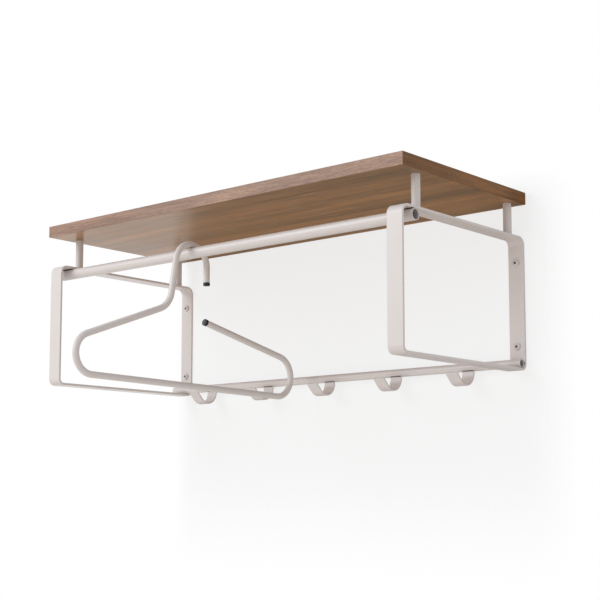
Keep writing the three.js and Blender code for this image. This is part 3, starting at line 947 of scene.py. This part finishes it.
# ---- stage ---------------------------------------------------------------------------------------
class RACK_OT_stage(Operator):
    """Builds the pale wall and floor, the soft light, the surroundings and the camera"""

    bl_idname = "rack.stage"
    bl_label = "Stage"
    bl_options = {"REGISTER", "UNDO"}

    def execute(self, context):
        colours = context.scene.rack_colours
        scene = bpy.context.scene
        setup = scene.rack_stage
        scene.view_settings.view_transform = "Standard"
        self.camera(scene, setup)
        self.surroundings(scene, setup)
        self.light("key_light", setup.key_power, setup.cool, size=1.6, place=(-1.3, -2.3, 1.2))
        self.light("low_light", setup.fill_power, setup.warm, size=1.2, place=(-0.3, -1.3, -1.15))
        level = -1.3
        floor = self.sheet("floor", [(-4, -5, level), (4, -5, level), (4, 1, level), (-4, 1, level)],
                           self.matte("floor_matte", tuple(colours.floor)))
        left, right, bottom, top, behind = -0.62, 0.72, -0.62, 0.5, 0.6 * MM
        wall = self.sheet("wall", [(left, behind, bottom), (right, behind, bottom),
                                   (right, behind, top), (left, behind, top)],
                          self.one_sided("wall_matte", tuple(colours.wall)))
        return {"FINISHED"}

    def camera(self, scene, setup):
        data = bpy.data.cameras.new("camera")
        data.lens = setup.lens
        data.sensor_width = 36.0
        data.shift_y = setup.shift
        data.clip_start = 0.01
        camera = bpy.data.objects.new("camera", data)
        camera.location = setup.camera_place
        camera.rotation_euler = (math.pi / 2 + setup.tilt, 0, setup.heading)
        scene.collection.objects.link(camera)
        scene.camera = camera

    def surroundings(self, scene, setup):
        """White to the eye and in reflections. It lights the rack warm from below, cool from above."""
        scene.world = bpy.data.worlds.new("white_room")
        scene.world.use_nodes = True
        tree = scene.world.node_tree
        tree.nodes.clear()
        path = add_node(tree, "ShaderNodeLightPath")
        seen = add_node(tree, "ShaderNodeMath", {
            0: path.outputs["Is Camera Ray"], 1: path.outputs["Is Glossy Ray"]}, operation="MAXIMUM")
        strength = add_node(tree, "ShaderNodeMapRange", {
            "Value": seen.outputs[0], "To Min": setup.surround, "To Max": 1.0})
        place = add_node(tree, "ShaderNodeTexCoord")
        split = add_node(tree, "ShaderNodeSeparateXYZ", {"Vector": place.outputs["Generated"]})
        height = add_node(tree, "ShaderNodeMapRange", {
            "Value": split.outputs["Z"], "From Min": -0.5, "From Max": 0.5})
        tint = blend_colours(tree, height.outputs["Result"], (*setup.warm, 1), (*setup.cool, 1))
        tint = blend_colours(tree, seen.outputs[0], tint, (1, 1, 1, 1))
        glow = add_node(tree, "ShaderNodeBackground", {
            "Color": tint, "Strength": strength.outputs["Result"]})
        add_node(tree, "ShaderNodeOutputWorld", {"Surface": glow.outputs[0]})

    def light(self, name, power, colour, size, place):
        data = bpy.data.lights.new(name, "AREA")
        data.energy = power
        data.color = colour
        data.size = size
        lamp = bpy.data.objects.new(name, data)
        lamp.location = place
        middle_of_rack = np.array([0, -0.15, 0])
        aim = middle_of_rack - np.array(place)
        lamp.rotation_euler = (math.atan2(np.hypot(*aim[:2]), -aim[2]), 0,
                               math.atan2(aim[1], aim[0]) - math.pi / 2)
        bpy.context.scene.collection.objects.link(lamp)

    def sheet(self, name, points, material):
        mesh = bpy.data.meshes.new(name)
        mesh.from_pydata(points, [], [(0, 1, 2, 3)])
        mesh.materials.append(material)
        made = bpy.data.objects.new(name, mesh)
        bpy.context.scene.collection.objects.link(made)
        return made

    def matte(self, name, colour):
        material = bpy.data.materials.new(name)
        material.use_nodes = True
        tree = material.node_tree
        tree.nodes.clear()
        place = add_node(tree, "ShaderNodeTexCoord")
        cloud = add_node(tree, "ShaderNodeTexNoise", {
            "Vector": place.outputs["Object"], "Scale": 3.0})
        tone = blend_colours(tree, cloud.outputs["Fac"], (*colour, 1),
                             (*(c * 0.985 for c in colour), 1))
        matte = add_node(tree, "ShaderNodeBsdfDiffuse", {"Color": tone})
        add_node(tree, "ShaderNodeOutputMaterial", {"Surface": matte.outputs[0]})
        return material

    def one_sided(self, name, colour):
        """A wall that shows from the room and in reflections, and is clear to all other light.

        To the eye it is mostly an even glow, and in reflections a matte face darkened to 0.35 of its
        colour, painted shade for the rack's shadow on it. It fades to nothing before its own edges.
        """
        material = bpy.data.materials.new(name)
        material.use_nodes = True
        tree = material.node_tree
        tree.nodes.clear()
        place = add_node(tree, "ShaderNodeTexCoord")
        split = add_node(tree, "ShaderNodeSeparateXYZ", {"Vector": place.outputs["Object"]})
        shown = None
        for axis, clear_at, full_at in (("X", -0.37, -0.32), ("X", 0.44, 0.34),
                                        ("Z", -0.42, -0.2), ("Z", 0.2, 0.15)):
            fade = add_node(tree, "ShaderNodeMapRange", {
                "Value": split.outputs[axis], "From Min": clear_at, "From Max": full_at},
                interpolation_type="SMOOTHSTEP").outputs["Result"]
            shown = fade if shown is None else self.product(tree, shown, fade)
        path = add_node(tree, "ShaderNodeLightPath")
        face = add_node(tree, "ShaderNodeNewGeometry")
        front = add_node(tree, "ShaderNodeMath", {0: 1.0, 1: face.outputs["Backfacing"]},
                         operation="SUBTRACT").outputs[0]
        shown = self.product(tree, shown, front)
        # painted shade: in reflections the wall shows 0.35 of its colour, for the rack's shadow on it
        shaded = (*(c * 0.35 for c in colour), 1)
        shade = add_node(tree, "ShaderNodeBsdfDiffuse", {"Color": shaded})
        pale = add_node(tree, "ShaderNodeBsdfDiffuse", {"Color": (*colour, 1)})
        glow = add_node(tree, "ShaderNodeEmission", {"Color": (*colour, 1), "Strength": 1.0})
        clear = add_node(tree, "ShaderNodeBsdfTransparent").outputs[0]
        glow_share = 0.8
        eye = self.mixed(tree, glow_share, pale.outputs[0], glow.outputs[0])
        for seen_by, surface_ in (("Is Glossy Ray", shade.outputs[0]), ("Is Camera Ray", eye)):
            factor = self.product(tree, shown, path.outputs[seen_by])
            clear = self.mixed(tree, factor, clear, surface_)
        add_node(tree, "ShaderNodeOutputMaterial", {"Surface": clear})
        return material

    def product(self, tree, first, second):
        return add_node(tree, "ShaderNodeMath", {0: first, 1: second}, operation="MULTIPLY").outputs[0]

    def mixed(self, tree, factor, first, second):
        return add_node(tree, "ShaderNodeMixShader", {0: factor, 1: first, 2: second}).outputs[0]


class RACK_PT_panel(Panel):
    """Lists the rack's sizes, colours and steps"""

    bl_idname = "RACK_PT_panel"
    bl_label = "Wall hook rack"
    bl_space_type = "VIEW_3D"
    bl_region_type = "UI"
    bl_category = "Rack"

    def draw(self, context):
        layout = self.layout
        for title, group in (("Sizes", context.scene.rack_sizes),
                             ("Colours", context.scene.rack_colours),
                             ("Stage", context.scene.rack_stage)):
            box = layout.box()
            box.label(text=title)
            for name in group.__annotations__:
                box.prop(group, name)
        for step in STEPS:
            layout.operator(step.bl_idname)


STEPS = (RACK_OT_shelf, RACK_OT_side_frames, RACK_OT_rails, RACK_OT_posts, RACK_OT_wall_screws,
         RACK_OT_hooks, RACK_OT_welds, RACK_OT_hanger, RACK_OT_stage)
CLASSES = (RackSizes, RackColours, RackStage, *STEPS, RACK_PT_panel)


def register():
    for each in CLASSES:
        bpy.utils.register_class(each)
    bpy.types.Scene.rack_sizes = PointerProperty(type=RackSizes)
    bpy.types.Scene.rack_colours = PointerProperty(type=RackColours)
    bpy.types.Scene.rack_stage = PointerProperty(type=RackStage)


def unregister():
    del bpy.types.Scene.rack_sizes, bpy.types.Scene.rack_colours, bpy.types.Scene.rack_stage
    for each in reversed(CLASSES):
        bpy.utils.unregister_class(each)


def main():
    register()
    bpy.ops.rack.shelf()
    bpy.ops.rack.side_frames()
    bpy.ops.rack.rails()
    bpy.ops.rack.posts()
    bpy.ops.rack.wall_screws()
    bpy.ops.rack.hooks()
    bpy.ops.rack.welds()
    bpy.ops.rack.hanger()
    bpy.ops.rack.stage()


if __name__ == "__main__":
    main()
